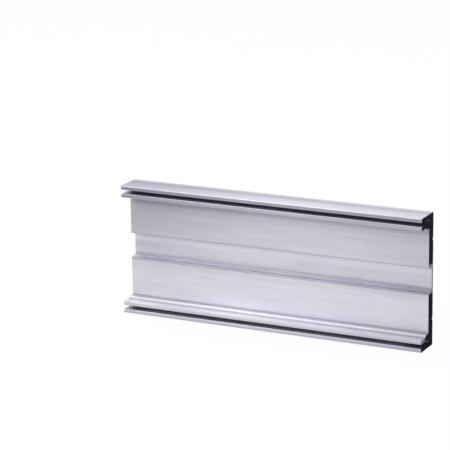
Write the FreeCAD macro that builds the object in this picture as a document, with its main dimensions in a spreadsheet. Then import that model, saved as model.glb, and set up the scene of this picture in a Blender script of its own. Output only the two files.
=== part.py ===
# A short length of extruded aluminium DIN rail, drawn as one profile and pushed out along X.
import FreeCAD, Part
from enum import IntEnum
import os
import Sketcher

# Sizes in millimetres; formulas name the sizes they follow.
SIZES = [
    ("rail_length", 85.0),
    ("rail_height", 35.0),
    ("rail_depth", 7.9),
    ("pad_thickness", 2.9),
    ("web_thickness", 0.8),
    ("recess_width", 6.6),
    ("recess_draft", 0.45),
    ("outer_lip", 1.1),
    ("slot_width", 1.05),
    ("inner_lip", 1.05),
    ("slot_depth", 5.0),
    ("root_length", 1.9),
    ("root_height", 0.5),
    ("groove_offset", 7.0),
    ("groove_width", 0.9),
    ("groove_depth", 0.45),
    ("outside_radius", 0.3),
    ("lip_radius", 0.15),
    ("inside_radius", 0.25),
    ("root_front", "=pad_thickness + root_length"),
    ("slot_floor", "=rail_depth - slot_depth"),
    ("slot_inner", "=outer_lip + slot_width"),
    ("flange_face", "=outer_lip + slot_width + inner_lip"),
    ("root_face", "=outer_lip + slot_width + inner_lip + root_height"),
    ("recess_edge", "=(rail_height - recess_width) / 2"),
    ("recess_foot", "=(rail_height - recess_width) / 2 + recess_draft"),
    ("groove_near", "=groove_offset - groove_width / 2"),
    ("groove_far", "=groove_offset + groove_width / 2"),
]

# The lower half of the profile, from the back round the front to the recess: how far each corner
# lies in front of the back plane and how far above the underside. None stands for zero.
LOWER_HALF = [
    ("groove_depth", "groove_offset"),
    (None, "groove_near"),
    (None, None),
    ("rail_depth", None),
    ("rail_depth", "outer_lip"),
    ("slot_floor", "outer_lip"),
    ("slot_floor", "slot_inner"),
    ("rail_depth", "slot_inner"),
    ("rail_depth", "flange_face"),
    ("root_front", "flange_face"),
    ("root_front", "root_face"),
    ("pad_thickness", "root_face"),
    ("pad_thickness", "recess_edge"),
    ("web_thickness", "recess_foot"),
]

# Corners that are rounded, by the radius they take.
ROUNDED = {
    "outside_radius": [
        (None, None),
        ("rail_depth", None),
        ("pad_thickness", "recess_edge"),
    ],
    "lip_radius": [
        ("rail_depth", "outer_lip"),
        ("rail_depth", "slot_inner"),
        ("rail_depth", "flange_face"),
        ("root_front", "root_face"),
    ],
    "inside_radius": [
        ("slot_floor", "outer_lip"),
        ("slot_floor", "slot_inner"),
        ("root_front", "flange_face"),
        ("pad_thickness", "root_face"),
        ("web_thickness", "recess_foot"),
    ],
}

# How near an edge lies to the place that it is looked for.
TOLERANCE = 1e-4


class Axis(IntEnum):
    """Sketcher's numbers for its two axes; the horizontal one starts at the origin."""
    HORIZONTAL = -1
    VERTICAL = -2


class End(IntEnum):
    """Sketcher's numbers for the two ends of a line."""
    START = 1
    FINISH = 2


def make_sheet(doc):
    sheet = doc.addObject("Spreadsheet::Sheet", "Sizes")
    for row, (name, value) in enumerate(SIZES, start=1):
        sheet.set(f"A{row}", name)
        sheet.set(f"B{row}", str(value))
        sheet.setAlias(f"B{row}", name)
    doc.recompute()
    return sheet


def number(sheet, name):
    if name is None:
        return 0.0
    return float(sheet.get(name))


def corners():
    """Every corner of the profile in order, as depth, height and whether it is a mirrored one."""
    lower = [(depth, height, False) for depth, height in LOWER_HALF]
    upper = [(depth, height, True) for depth, height in reversed(LOWER_HALF)]
    back = [(None, "groove_far", True), (None, "groove_far", False)]
    return lower + upper + back


def place(sheet, depth, height, mirrored):
    """Where a corner lies on the profile's own plane, whose origin is the foot of the back."""
    y = -number(sheet, depth)
    z = number(sheet, height)
    if mirrored:
        z = number(sheet, "rail_height") - z
    return y, z


def hold_distance(sketch, kind, places, formula):
    index = sketch.addConstraint(Sketcher.Constraint(kind, *places, 1.0))
    sketch.setExpression(f"Constraints[{index}]", formula)


def pin_corner(sketch, line, depth, height, mirrored):
    """Holds the start of one line at its named depth and height."""
    corner = (line, End.START)
    origin = (Axis.HORIZONTAL, End.START)
    if depth is None:
        sketch.addConstraint(Sketcher.Constraint("PointOnObject", *corner, Axis.VERTICAL))
    else:
        hold_distance(sketch, "DistanceX", corner + origin, f"Sizes.{depth}")
    if mirrored:
        below_top = "" if height is None else f" - Sizes.{height}"
        hold_distance(sketch, "DistanceY", origin + corner, f"Sizes.rail_height{below_top}")
    elif height is None:
        sketch.addConstraint(Sketcher.Constraint("PointOnObject", *corner, Axis.HORIZONTAL))
    else:
        hold_distance(sketch, "DistanceY", origin + corner, f"Sizes.{height}")


def make_profile(body, sheet):
    sketch = body.newObject("Sketcher::SketchObject", "Profile")
    plane = next(f for f in body.Origin.OriginFeatures if f.Role == "YZ_Plane")
    sketch.AttachmentSupport = [(plane, "")]
    sketch.MapMode = "FlatFace"
    sketch.setExpression("AttachmentOffset.Base.x", "Sizes.rail_depth / 2")
    outline = corners()
    points = [place(sheet, *corner) for corner in outline]
    for index, (y, z) in enumerate(points):
        next_y, next_z = points[(index + 1) % len(points)]
        start = FreeCAD.Vector(y, z, 0)
        end = FreeCAD.Vector(next_y, next_z, 0)
        sketch.addGeometry(Part.LineSegment(start, end), False)
    for index in range(len(outline)):
        following = (index + 1) % len(outline)
        joined = Sketcher.Constraint("Coincident", index, End.FINISH, following, End.START)
        sketch.addConstraint(joined)
    for index, corner in enumerate(outline):
        pin_corner(sketch, index, *corner)
    return sketch


def push_out(body, profile):
    rail = body.newObject("PartDesign::Pad", "Extrusion")
    rail.Profile = profile
    rail.Midplane = True
    rail.setExpression("Length", "Sizes.rail_length")
    return rail


def lies_at(point, place_on_section):
    y, z = place_on_section
    return abs(point.y - y) < TOLERANCE and abs(point.z - z) < TOLERANCE


def edges_at(shape, places):
    """Names of the lengthwise edges that lie at the given places of the section."""
    names = []
    for index, edge in enumerate(shape.Edges, start=1):
        ends = [vertex.Point for vertex in edge.Vertexes]
        if any(all(lies_at(end, spot) for end in ends) for spot in places):
            names.append(f"Edge{index}")
    return names


def round_edges(doc, body, sheet, base, radius):
    back = number(sheet, "rail_depth") / 2
    places = []
    for depth, height in ROUNDED[radius]:
        for mirrored in (False, True):
            y, z = place(sheet, depth, height, mirrored)
            places.append((back + y, z))
    names = edges_at(base.Shape, places)
    if len(names) != len(places):
        raise RuntimeError(f"{radius}: {len(names)} edges found, {len(places)} wanted")
    rounded = body.newObject("PartDesign::Fillet", radius.title().replace("_", ""))
    rounded.Base = (base, names)
    rounded.setExpression("Radius", f"Sizes.{radius}")
    doc.recompute()
    return rounded


def make_rail(doc, sheet):
    body = doc.addObject("PartDesign::Body", "Rail")
    body.Label = "rail"
    doc.recompute()
    profile = make_profile(body, sheet)
    feature = push_out(body, profile)
    doc.recompute()
    for radius in ROUNDED:
        feature = round_edges(doc, body, sheet, feature, radius)
    body.Tip = feature
    doc.recompute()
    return body


def check_document(doc):
    for item in doc.Objects:
        if "Invalid" in item.State or "Error" in item.State:
            raise RuntimeError(f"{item.Name}: {item.State}")


def write_bodies(doc):
    os.makedirs("parts", exist_ok=True)
    for body in doc.findObjects("PartDesign::Body"):
        if not body.Shape.isValid() or len(body.Shape.Solids) != 1:
            raise RuntimeError(f"{body.Label}: the shape is not one valid solid")
        body.Shape.exportStep(f"parts/{body.Label}.step")


document = FreeCAD.newDocument("DinRail")
sizes = make_sheet(document)
make_rail(document, sizes)
check_document(document)
write_bodies(document)
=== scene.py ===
# A short length of extruded aluminium DIN rail on a white studio sweep.
import math

import bpy
from mathutils import Matrix, Vector

MM = 0.001

# The camera, set so that the rail lies in the frame as it does in the photograph.
CAMERA_AZIMUTH = 26.5134
CAMERA_ELEVATION = 15.3033
CAMERA_ROLL = -0.8431
CAMERA_TARGET = Vector((-14.02, 0, 26.35)) * MM
CAMERA_DISTANCE = 610.63 * MM
FOCAL_IN_PIXELS = 2342.95
FRAME_WIDTH = 450
SENSOR_WIDTH = 36.0
NEAREST_SEEN = 10 * MM

# The section, in metres.
TOP = 35 * MM
MIDDLE = 17.5 * MM
FRONT = -3.95 * MM
BACK = 3.95 * MM
PAD_FRONT = 1.05 * MM

# Colours of the metal: its own, and the tints that lie over it in patches.
METAL = (0.70, 0.70, 0.775)
PALE_STREAK = 1.08
DARK_STREAK = 0.90
NEUTRAL = (0.72, 0.72, 0.745)
LILAC = (0.695, 0.68, 0.79)
CLOUD = (0.60, 0.60, 0.69)

# Colours of painted light and shade on its faces, and of the cut ends with their saw marks.
# Painted shade on the front faces of the lips, strongest on the upper outer lip.
LIP_SHADE = (0.44, 0.445, 0.52)
# Painted shade on the top face, darker toward the back, and a painted dark reflection on its left
# part.
TOP_SHADE = (0.425, 0.42, 0.475)
TOP_LEFT_DARK_REFLECTION = (0.28, 0.28, 0.34)
# Painted shade on the upper half toward the left end and on the lowest part toward the right end.
UPPER_LEFT_LOWER_RIGHT_SHADE = (0.415, 0.42, 0.51)
# Painted shade on faces that look up, below 15 mm high, the ledge among them.
LEDGE_SHADE = (0.36, 0.362, 0.40)
# Painted light on the upper part of the recess floor and on the lower pad.
RECESS_AND_PAD_LIGHT = (0.90, 0.90, 0.965)
# Painted shade in the creases and on the strip under the upper flange.
CREASE_SHADE = (0.27, 0.265, 0.315)
# Painted highlights along edges.
EDGE_HIGHLIGHT = (0.93, 0.93, 0.97)
# Painted shade in the slots: the upper mouth darker, the lower mouth lighter than the metal, and the
# roots darkest.
UPPER_SLOT = (0.38, 0.38, 0.53)
LOWER_SLOT = (0.84, 0.84, 1.0)
SLOT_ROOT = (0.15, 0.15, 0.22)
# The cut ends: saw marks between these two greys, in painted near-black shade.
CUT_DARK = (0.003, 0.003, 0.005)
CUT_PALE = (0.038, 0.038, 0.048)
# A paler grey on the ends of the thin web and of the lower inner lip.
PALER_END_GREY = (0.30, 0.30, 0.33)

# Noises: how often they change per metre along X, Y and Z, and their detail and roughness.
FINE_NOISE = ((90, 2600, 2600), 3.0, 0.6)
BROKEN_NOISE = ((40, 700, 700), 2.0, 0.5)
BROAD_NOISE = ((16, 130, 130), 1.0, 0.5)
CLOUD_NOISE = ((90, 140, 140), 2.0, 0.5)
PATCH_NOISE = ((32, 60, 60), 2.0, 0.5)
SAW_NOISE = ((1, 2200, 260), 3.0, 0.6)
FINE_SHARE = 0.45
BROKEN_SHARE = 0.55

# Ramps: a value's low and high end, and what they turn into where that isn't nought and one.
STREAK_TONE = (0.3, 0.7)
PATCH_SHARE = (0.42, 0.62, 0.0, 0.6)
LILAC_SHARE = (0.3, 0.7, 0.0, 0.35)
CLOUD_SHARE = (0.3, 0.75, 0.0, 0.3)
STREAK_ROUGHNESS = (0.25, 0.75, 0.32, 0.40)
CLOUD_ROUGHNESS = (0.3, 0.7, -0.01, 0.02)
FACING_ENDS = (0.6, 0.9)
FACING_UP = (0.35, 0.8)

# Ramps along the rail and through its depth.
LEFT_PART = (-42 * MM, 5 * MM, 1.0, 0.0)
RIGHT_PART = (8 * MM, 42 * MM, 0.0, 0.5)
LIP_FRONT = (FRONT, FRONT + 0.4 * MM, 1.0, 0.0)
TOWARD_BACK = (FRONT, BACK, 0.4, 0.8)
BEHIND_LIP = (0.0, PAD_FRONT)

# Ramps up the rail.
LIP_SHARE = (TOP - 2 * MM, TOP - 1 * MM, 0.5, 1.0)
TOP_HEIGHT = (TOP - 1 * MM, TOP - 0.5 * MM)
UPPER_PART = (15 * MM, 30 * MM, 0.0, 0.4)
LOWEST_PART = (2 * MM, 5 * MM, 1.0, 0.0)
LEDGE_HEIGHT = (15 * MM, 16 * MM, 0.75, 0.0)
UPPER_RECESS = (17.8 * MM, 19.6 * MM, 0.0, 0.55)
UNDER_FLANGE = (28.8 * MM, 30.6 * MM, 0.0, 0.4)

# Bands: the low and the high edge, and how far each edge is blurred to either side.
RECESS_FLOOR = (2.6 * MM, 3.5 * MM, 0.2 * MM)
LOWER_PAD = (5 * MM, 12 * MM, 2 * MM)
LOWER_PAD_SHARE = 0.22
WEB_END = (13.9 * MM, 21.6 * MM, 0.25 * MM)
SLOT_FROM_MIDDLE = (15.35 * MM, 16.4 * MM, 0.04 * MM)

# The slots' painted shade: their mouth, floor and roots, and how near the ends they are darker.
SLOT_MOUTH = (FRONT, FRONT + 0.8 * MM)
SLOT_FLOOR = (PAD_FRONT - 0.1 * MM, PAD_FRONT + 0.1 * MM, 1.0, 0.0)
SLOT_HALVES = (MIDDLE - 1 * MM, MIDDLE + 1 * MM)
SLOT_DEPTH = (FRONT + 2.2 * MM, FRONT + 4.2 * MM)
SLOT_ENDS = (35 * MM, 40 * MM, 0.0, 0.9)

# The paler grey on the end of the lower inner lip.
LIP_PALER_FOOT = (1.9 * MM, 2.4 * MM)
LIP_PALER_TOP = (3.7 * MM, 4.1 * MM, 1.0, 0.0)
LIP_PALER_BACK = (-2 * MM, -0.5 * MM, 1.0, 0.0)

# Lines along the section: the place along Y, the height and the reach in millimetres, and the
# share. Painted shade where the profile folds in, round the recess and at the foot, and painted
# highlights where it folds out.
SHADE_LINES = [
    (-3.95, 0.05, 0.7, 0.4),
    (1.05, 3.7, 0.5, 0.75),
    (-0.85, 3.2, 0.5, 0.75),
    (1.12, 14.08, 0.5, 0.8),
    (1.45, 14.32, 0.5, 1.0),
    (3.15, 14.75, 0.5, 0.6),
    (1.2, 20.8, 0.5, 0.4),
]
HIGHLIGHT_LINES = [
    (-0.75, 3.7, 0.75, 0.45),
    (-3.1, 3.3, 1.3, 0.35),
]
LINE_CORE = 0.3

# The metal's shine. The cut ends are rougher and almost matt.
ANISOTROPY = 0.8
ANISOTROPY_TURN = 0.25
CUT_METALLIC = 0.04
CUT_ROUGHNESS = 0.2
SAW_HEIGHT = 3.0
BUMP_STRENGTH = 0.12
BUMP_DISTANCE = 0.03 * MM

# The floor, and the pool of light on it that only reflections show: the angle it points in, and
# how it fades beside its middle line and away from the rail.
FLOOR_REACH = 4.0
FLOOR_COLOUR = (0.90, 0.90, 0.91)
FLOOR_ROUGHNESS = 0.9
GLOW_SHARE = 0.9
SEEN_GLOW = 1.03
POOL_GLOW = 1.1
POOL_ANGLE = 24
POOL_MIDDLE = 5 * MM
POOL_BESIDE = (0.0, 0.06)
POOL_AWAY = (0.02, 0.18)
POOL_FAR_LOSS = 0.55
POOL_SIDE_LOSS = 0.5
POOL_NEAR_SIDE = 0.05

# The world: its light on matt surfaces, and the darker front that reflections show.
WHITE = (1.0, 1.0, 1.0)
AMBIENT = 0.55
FRONT_LOSS = 0.65
WORLD_FRONT = (-0.5, 0.2, 1.0, 0.0)
WORLD_LOW = (0.45, 0.75, 1.0, 0.0)

# The lamps: name, place, width and height, and power.
LAMP_TARGET = Vector((0, 0, MIDDLE))
LAMPS = [
    ("overhead", Vector((-0.17, 0.1, 0.6)), (0.1, 0.5), 0.95),
    ("front_left", Vector((-0.295, -0.50, 0.40)), (0.12, 0.3), 0.9),
]


class Nodes:
    """A node tree with short calls for adding nodes and joining them."""

    def __init__(self, tree):
        self.tree = tree
        tree.nodes.clear()

    def add(self, kind, **settings):
        node = self.tree.nodes.new(kind)
        for name, value in settings.items():
            setattr(node, name, value)
        return node

    def feed(self, socket, value):
        """Joins a socket to another, or gives it a plain number, colour or vector."""
        if isinstance(value, bpy.types.NodeSocket):
            self.tree.links.new(value, socket)
        elif socket.type == "RGBA":
            socket.default_value = (*value, 1.0)
        else:
            socket.default_value = value

    def math(self, operation, first, second=0.0):
        node = self.add("ShaderNodeMath", operation=operation)
        self.feed(node.inputs[0], first)
        self.feed(node.inputs[1], second)
        return node.outputs[0]

    def plus(self, first, second):
        return self.math("ADD", first, second)

    def minus(self, first, second):
        return self.math("SUBTRACT", first, second)

    def times(self, first, *others):
        for other in others:
            first = self.math("MULTIPLY", first, other)
        return first

    def either(self, first, second):
        return self.math("MAXIMUM", first, second)

    def absolute(self, value):
        return self.math("ABSOLUTE", value)

    def ramp(self, value, low, high, new_low=0.0, new_high=1.0):
        """Maps a range to another one, smoothly and held at both ends."""
        node = self.add("ShaderNodeMapRange", interpolation_type="SMOOTHSTEP")
        for index, item in enumerate((value, low, high, new_low, new_high)):
            self.feed(node.inputs[index], item)
        return node.outputs[0]

    def band(self, value, low, high, blur):
        """One between two values and nought outside them, with soft edges."""
        rise = self.ramp(value, low - blur, low + blur)
        fall = self.ramp(value, high - blur, high + blur, 1.0, 0.0)
        return self.times(rise, fall)

    def parts(self, vector):
        node = self.add("ShaderNodeSeparateXYZ")
        self.feed(node.inputs[0], vector)
        return node.outputs

    def whole(self, x, y, z):
        node = self.add("ShaderNodeCombineXYZ")
        for index, item in enumerate((x, y, z)):
            self.feed(node.inputs[index], item)
        return node.outputs[0]

    def vector_math(self, operation, first, second, output):
        node = self.add("ShaderNodeVectorMath", operation=operation)
        self.feed(node.inputs[0], first)
        self.feed(node.inputs[1], second)
        return node.outputs[output]

    def noise(self, place, per_metre, detail, roughness):
        node = self.add("ShaderNodeTexNoise")
        self.feed(node.inputs["Vector"], self.vector_math("MULTIPLY", place, per_metre, "Vector"))
        self.feed(node.inputs["Scale"], 1.0)
        self.feed(node.inputs["Detail"], detail)
        self.feed(node.inputs["Roughness"], roughness)
        return node.outputs["Fac"]

    def mix_value(self, share, first, second):
        node = self.add("ShaderNodeMix", data_type="FLOAT")
        for name, item in (("Factor", share), ("A", first), ("B", second)):
            self.feed(node.inputs[name], item)
        return node.outputs["Result"]

    def mix(self, share, first, second):
        """Mixes two colours. The node's colour sockets share their names with others."""
        node = self.add("ShaderNodeMix", data_type="RGBA")
        colours = [socket for socket in node.inputs if socket.type == "RGBA"]
        self.feed(node.inputs["Factor"], share)
        self.feed(colours[0], first)
        self.feed(colours[1], second)
        return next(socket for socket in node.outputs if socket.type == "RGBA")

    def lines(self, section, corners):
        """The share of the given lines along the section, fading to nought at their reach."""
        strongest = 0.0
        for y, height, reach, share in corners:
            corner = (0, y * MM, height * MM)
            gap = self.vector_math("DISTANCE", section, corner, "Value")
            near = self.ramp(gap, reach * MM * LINE_CORE, reach * MM, share, 0.0)
            strongest = self.either(near, strongest)
        return strongest

    def rays(self):
        """One for a camera ray, and one for a ray that is mirrored or passes through glass."""
        path = self.add("ShaderNodeLightPath").outputs
        return path["Is Camera Ray"], self.either(path["Is Glossy Ray"], path["Is Transmission Ray"])


class Surface:
    """Where a point of the rail lies, how it faces and the grain of the metal there."""

    def __init__(self, nodes):
        coordinates = nodes.add("ShaderNodeTexCoord").outputs
        place = coordinates["Object"]
        self.x, self.y, self.z = nodes.parts(place)
        facing_x, _, facing_z = nodes.parts(coordinates["Normal"])
        self.section = nodes.whole(0.0, self.y, self.z)
        self.cut_end = nodes.ramp(nodes.absolute(facing_x), *FACING_ENDS)
        self.level = nodes.ramp(facing_z, *FACING_UP)

        fine = nodes.times(nodes.noise(place, *FINE_NOISE), FINE_SHARE)
        broken = nodes.times(nodes.noise(place, *BROKEN_NOISE), BROKEN_SHARE)
        self.streaks = nodes.plus(fine, broken)
        self.broad = nodes.noise(place, *BROAD_NOISE)
        self.clouds = nodes.noise(place, *CLOUD_NOISE)
        self.patches = nodes.noise(place, *PATCH_NOISE)
        self.saw = nodes.noise(place, *SAW_NOISE)


def streaked_colour(nodes, surface):
    """Mill finish: paler and darker streaks of the metal's own colour."""
    pale = tuple(channel * PALE_STREAK for channel in METAL)
    dark = tuple(channel * DARK_STREAK for channel in METAL)
    return nodes.mix(nodes.ramp(surface.streaks, *STREAK_TONE), dark, pale)


def tint_layers(nodes, surface):
    return [
        (nodes.ramp(surface.patches, *PATCH_SHARE), NEUTRAL),
        (nodes.ramp(surface.broad, *LILAC_SHARE), LILAC),
        (nodes.ramp(surface.clouds, *CLOUD_SHARE), CLOUD),
    ]


def face_layers(nodes, surface):
    """Painted shade on the lips, the top, the upper left, the lower right and faces that look up low
    down, a painted dark reflection on the top's left part, and painted light on the recess and lower
    pad.
    """
    y, z = surface.y, surface.z
    left = nodes.ramp(surface.x, *LEFT_PART)
    right = nodes.ramp(surface.x, *RIGHT_PART)
    lip = nodes.times(nodes.ramp(y, *LIP_FRONT), nodes.ramp(z, *LIP_SHARE))
    upper_left = nodes.times(left, nodes.ramp(z, *UPPER_PART))
    lower_right = nodes.times(right, nodes.ramp(z, *LOWEST_PART))
    top = nodes.times(surface.level, nodes.ramp(z, *TOP_HEIGHT), nodes.ramp(y, *TOWARD_BACK))
    ledge = nodes.times(surface.level, nodes.ramp(z, *LEDGE_HEIGHT))
    recess = nodes.times(nodes.band(y, *RECESS_FLOOR), nodes.ramp(z, *UPPER_RECESS))
    pad = nodes.times(nodes.band(z, *LOWER_PAD), LOWER_PAD_SHARE)
    return [
        (lip, LIP_SHADE),
        (nodes.either(upper_left, lower_right), UPPER_LEFT_LOWER_RIGHT_SHADE),
        (top, TOP_SHADE),
        (nodes.times(top, left), TOP_LEFT_DARK_REFLECTION),
        (ledge, LEDGE_SHADE),
        (nodes.either(recess, pad), RECESS_AND_PAD_LIGHT),
    ]


def line_layers(nodes, surface):
    """Painted shade in the creases and on the strip under the upper flange, and painted highlights
    along edges.
    """
    under = nodes.times(nodes.ramp(surface.z, *UNDER_FLANGE), nodes.ramp(surface.y, *BEHIND_LIP))
    creases = nodes.lines(surface.section, SHADE_LINES)
    return [
        (nodes.either(creases, under), CREASE_SHADE),
        (nodes.lines(surface.section, HIGHLIGHT_LINES), EDGE_HIGHLIGHT),
    ]


def slot_layer(nodes, surface):
    """The two slots, in painted shade, darker inside and toward their open ends."""
    from_middle = nodes.absolute(nodes.minus(surface.z, MIDDLE))
    between_lips = nodes.band(from_middle, *SLOT_FROM_MIDDLE)
    inside = nodes.times(nodes.ramp(surface.y, *SLOT_MOUTH), nodes.ramp(surface.y, *SLOT_FLOOR))
    mouth = nodes.mix(nodes.ramp(surface.z, *SLOT_HALVES), LOWER_SLOT, UPPER_SLOT)
    near_ends = nodes.ramp(nodes.absolute(surface.x), *SLOT_ENDS)
    root = nodes.either(nodes.ramp(surface.y, *SLOT_DEPTH), near_ends)
    return nodes.times(between_lips, inside), nodes.mix(root, mouth, SLOT_ROOT)


def cut_layer(nodes, surface):
    """The cut ends: saw marks in painted near-black shade, with a paler grey on the thin web and on
    the lower lip.
    """
    y, z = surface.y, surface.z
    lip_height = nodes.times(nodes.ramp(z, *LIP_PALER_FOOT), nodes.ramp(z, *LIP_PALER_TOP))
    lip = nodes.times(lip_height, nodes.ramp(y, *LIP_PALER_BACK))
    paler_end = nodes.either(nodes.band(z, *WEB_END), lip)
    sawn = nodes.mix(surface.saw, CUT_DARK, CUT_PALE)
    return surface.cut_end, nodes.mix(paler_end, sawn, PALER_END_GREY)


def metal_roughness(nodes, surface):
    streaked = nodes.ramp(surface.streaks, *STREAK_ROUGHNESS)
    clouded = nodes.plus(streaked, nodes.ramp(surface.clouds, *CLOUD_ROUGHNESS))
    return nodes.plus(clouded, nodes.times(surface.cut_end, CUT_ROUGHNESS))


def metal_bump(nodes, surface):
    """The height of the streaks, and of the saw marks on the cut ends."""
    drawn = nodes.times(surface.streaks, nodes.minus(1.0, surface.cut_end))
    sawn = nodes.times(surface.saw, surface.cut_end, SAW_HEIGHT)
    bump = nodes.add("ShaderNodeBump")
    nodes.feed(bump.inputs["Strength"], BUMP_STRENGTH)
    nodes.feed(bump.inputs["Distance"], BUMP_DISTANCE)
    nodes.feed(bump.inputs["Height"], nodes.plus(drawn, sawn))
    return bump.outputs[0]


def extruded_metal():
    """Mill-finish aluminium, brushed along X."""
    material = bpy.data.materials.new("extruded_aluminium")
    material.use_nodes = True
    nodes = Nodes(material.node_tree)
    surface = Surface(nodes)
    colour = streaked_colour(nodes, surface)
    layers = tint_layers(nodes, surface) + face_layers(nodes, surface) + line_layers(nodes, surface)
    layers += [slot_layer(nodes, surface), cut_layer(nodes, surface)]
    for share, over in layers:
        colour = nodes.mix(share, colour, over)

    shader = nodes.add("ShaderNodeBsdfPrincipled")
    nodes.feed(shader.inputs["IOR"], 1.0)
    nodes.feed(shader.inputs["Anisotropic"], ANISOTROPY)
    nodes.feed(shader.inputs["Anisotropic Rotation"], ANISOTROPY_TURN)
    nodes.feed(shader.inputs["Tangent"], nodes.whole(1.0, 0.0, 0.0))
    nodes.feed(shader.inputs["Base Color"], colour)
    metallic = nodes.ramp(surface.cut_end, 0.0, 1.0, 1.0, CUT_METALLIC)
    nodes.feed(shader.inputs["Metallic"], metallic)
    nodes.feed(shader.inputs["Roughness"], metal_roughness(nodes, surface))
    nodes.feed(shader.inputs["Normal"], metal_bump(nodes, surface))
    output = nodes.add("ShaderNodeOutputMaterial")
    nodes.feed(output.inputs["Surface"], shader.outputs[0])
    return material


def pool_glow(nodes):
    """How brightly a reflection shows the floor: brightest in a beam to the rail's front left."""
    x, y, _ = nodes.parts(nodes.add("ShaderNodeTexCoord").outputs["Object"])
    cosine = math.cos(math.radians(POOL_ANGLE))
    sine = math.sin(math.radians(POOL_ANGLE))
    across = nodes.minus(nodes.times(x, cosine), nodes.times(y, sine))
    away = nodes.plus(nodes.times(x, -sine), nodes.times(y, -cosine))
    beside = nodes.ramp(nodes.absolute(nodes.minus(across, POOL_MIDDLE)), *POOL_BESIDE)
    beyond = nodes.ramp(away, *POOL_AWAY)
    side_loss = nodes.times(beside, nodes.plus(beyond, POOL_NEAR_SIDE), POOL_SIDE_LOSS)
    loss = nodes.plus(nodes.times(beyond, POOL_FAR_LOSS), side_loss)
    return nodes.minus(POOL_GLOW, loss)


def white_floor():
    """Pale and matt. It looks white with a soft shadow, and its reflection fades with distance."""
    material = bpy.data.materials.new("studio_floor")
    material.use_nodes = True
    nodes = Nodes(material.node_tree)
    matt = nodes.add("ShaderNodeBsdfPrincipled")
    nodes.feed(matt.inputs["Base Color"], FLOOR_COLOUR)
    nodes.feed(matt.inputs["Roughness"], FLOOR_ROUGHNESS)
    nodes.feed(matt.inputs["Specular IOR Level"], 0.0)
    camera_ray, mirrored = nodes.rays()
    glow = nodes.add("ShaderNodeEmission")
    nodes.feed(glow.inputs["Color"], WHITE)
    nodes.feed(glow.inputs["Strength"], nodes.mix_value(mirrored, SEEN_GLOW, pool_glow(nodes)))

    blend = nodes.add("ShaderNodeMixShader")
    nodes.feed(blend.inputs[0], nodes.times(nodes.either(camera_ray, mirrored), GLOW_SHARE))
    nodes.feed(blend.inputs[1], matt.outputs[0])
    nodes.feed(blend.inputs[2], glow.outputs[0])
    output = nodes.add("ShaderNodeOutputMaterial")
    nodes.feed(output.inputs["Surface"], blend.outputs[0])
    return material


def make_floor():
    mesh = bpy.data.meshes.new("floor")
    signs = ((-1, -1), (1, -1), (1, 1), (-1, 1))
    corners = [(x * FLOOR_REACH, y * FLOOR_REACH, 0) for x, y in signs]
    mesh.from_pydata(corners, [], [(0, 1, 2, 3)])
    floor = bpy.data.objects.new("floor", mesh)
    bpy.context.scene.collection.objects.link(floor)
    mesh.materials.append(white_floor())


def make_world():
    """A white studio: dimmer as a lamp, and darker low at the front where it is mirrored."""
    world = bpy.data.worlds.new("studio")
    bpy.context.scene.world = world
    world.use_nodes = True
    nodes = Nodes(world.node_tree)
    camera_ray, mirrored = nodes.rays()
    _, depth, height = nodes.parts(nodes.add("ShaderNodeTexCoord").outputs["Generated"])
    low_front = nodes.times(nodes.ramp(depth, *WORLD_FRONT), nodes.ramp(height, *WORLD_LOW))
    surroundings = nodes.minus(1.0, nodes.times(low_front, FRONT_LOSS))
    unseen = nodes.mix_value(mirrored, AMBIENT, surroundings)
    background = nodes.add("ShaderNodeBackground")
    nodes.feed(background.inputs["Color"], WHITE)
    nodes.feed(background.inputs["Strength"], nodes.mix_value(camera_ray, unseen, 1.0))
    output = nodes.add("ShaderNodeOutputWorld")
    nodes.feed(output.inputs["Surface"], background.outputs[0])


def make_lamps():
    """Softboxes that face the rail."""
    for name, place, size, power in LAMPS:
        light = bpy.data.lights.new(name, "AREA")
        light.shape = "RECTANGLE"
        light.size, light.size_y = size
        light.energy = power
        lamp = bpy.data.objects.new(name, light)
        bpy.context.scene.collection.objects.link(lamp)
        lamp.location = place
        lamp.rotation_mode = "QUATERNION"
        lamp.rotation_quaternion = (LAMP_TARGET - place).to_track_quat("-Z", "Y")


def make_camera():
    angles = (CAMERA_AZIMUTH, CAMERA_ELEVATION, CAMERA_ROLL)
    azimuth, elevation, roll = (math.radians(angle) for angle in angles)
    level = math.cos(elevation)
    back = Vector((math.sin(azimuth) * level, -math.cos(azimuth) * level, math.sin(elevation)))
    flat_right = Vector((math.cos(azimuth), math.sin(azimuth), 0))
    flat_up = back.cross(flat_right)
    right = flat_right * math.cos(roll) + flat_up * math.sin(roll)
    up = flat_up * math.cos(roll) - flat_right * math.sin(roll)
    data = bpy.data.cameras.new("camera")
    data.sensor_width = SENSOR_WIDTH
    data.lens = SENSOR_WIDTH * FOCAL_IN_PIXELS / FRAME_WIDTH
    data.clip_start = NEAREST_SEEN
    camera = bpy.data.objects.new("camera", data)
    bpy.context.scene.collection.objects.link(camera)
    turn = Matrix((right, up, back)).transposed().to_4x4()
    camera.matrix_world = Matrix.Translation(CAMERA_TARGET + back * CAMERA_DISTANCE) @ turn
    bpy.context.scene.camera = camera


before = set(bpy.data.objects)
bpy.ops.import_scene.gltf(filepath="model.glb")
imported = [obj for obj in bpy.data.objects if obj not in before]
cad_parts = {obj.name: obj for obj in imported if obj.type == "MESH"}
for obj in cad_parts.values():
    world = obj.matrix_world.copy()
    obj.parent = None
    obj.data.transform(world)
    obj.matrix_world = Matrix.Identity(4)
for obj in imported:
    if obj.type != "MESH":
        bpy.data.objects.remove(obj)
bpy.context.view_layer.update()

metal = extruded_metal()
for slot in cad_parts["rail"].material_slots:
    slot.material = metal

make_floor()
make_world()
make_lamps()
make_camera()
bpy.context.scene.view_settings.view_transform = "Standard"
